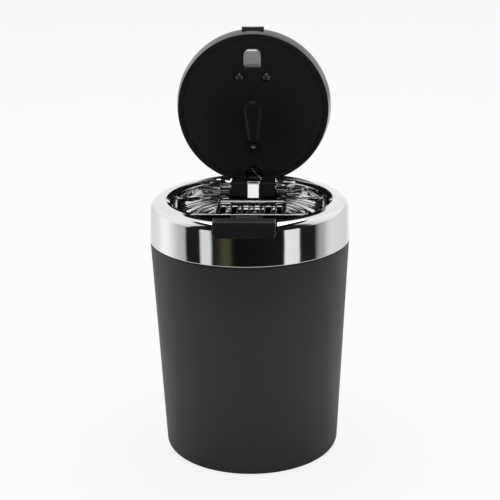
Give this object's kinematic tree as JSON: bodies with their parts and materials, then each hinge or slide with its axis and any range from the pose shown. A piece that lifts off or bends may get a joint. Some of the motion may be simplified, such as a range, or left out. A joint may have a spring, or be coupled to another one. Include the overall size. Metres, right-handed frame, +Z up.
{
  "type": "ashtray bin",
  "caption": "Portable ashtray bin: a tapered black cup under a chrome ring with a slotted grille, a spring lid on a rear hinge and a front push button that frees its latch.",
  "frame": {"origin": "centre of the flat base that the cup stands on", "axes": "+Z up; +Y towards the lid's hinge, -Y towards the push button; +X to the right of someone facing the button"},
  "size_m": [0.08, 0.0862, 0.1666],
  "materials": {
    "cup_black": "satin moulded",
    "chrome_plate": "bright plating",
    "collar_black": "moulded",
    "lid_black": "polished",
    "button_black": "fine satin",
    "latch_black": "moulded",
    "hook_metal": "satin nickel",
    "spring_steel": "drawn wire",
    "screw_zinc": "zinc plated",
    "lamp_clear": "clear",
    "board_green": "solder mask",
    "cell_steel": "satin",
    "contact_nickel": "plated"
  },
  "bodies": {
    "cup": {"outer_cup": "cup_black"},
    "head": {"chrome_ring": "chrome_plate", "plug_collar": "collar_black", "collar_screws": "screw_zinc", "ash_grille": "chrome_plate", "hinge_pin": "spring_steel"},
    "lid": {"lid_shell": "lid_black", "lid_panel": "lid_black", "latch_hook": "hook_metal", "lid_screws": "screw_zinc", "led_lamp": "lamp_clear", "circuit_board": "board_green", "coin_cell": "cell_steel", "battery_clip": "contact_nickel", "battery_contact": "contact_nickel", "tilt_switch": "cell_steel", "lid_spring": "spring_steel"},
    "button": {"push_button": "button_black", "latch_slide": "latch_black", "button_springs": "spring_steel"}
  },
  "joints": [
    {"name": "head_lift", "type": "slide", "parent": "cup", "child": "head", "axis": [0, 0, 1], "range_m": [0, 0.03]},
    {"name": "lid_hinge", "type": "hinge", "parent": "head", "child": "lid", "pos_m": [0, 0.0328, 0.1005], "axis": [1, 0, 0], "range_deg": [0, 90], "stiffness_Nm_per_rad": 0.01, "springref_deg": -34.38, "deforming": ["lid_spring"]},
    {"name": "button_press", "type": "slide", "parent": "head", "child": "button", "axis": [0, 1, 0], "range_m": [0, 0.002], "stiffness_N_per_m": 800, "springref_m": -0.003, "deforming": ["button_springs"]}
  ]
}
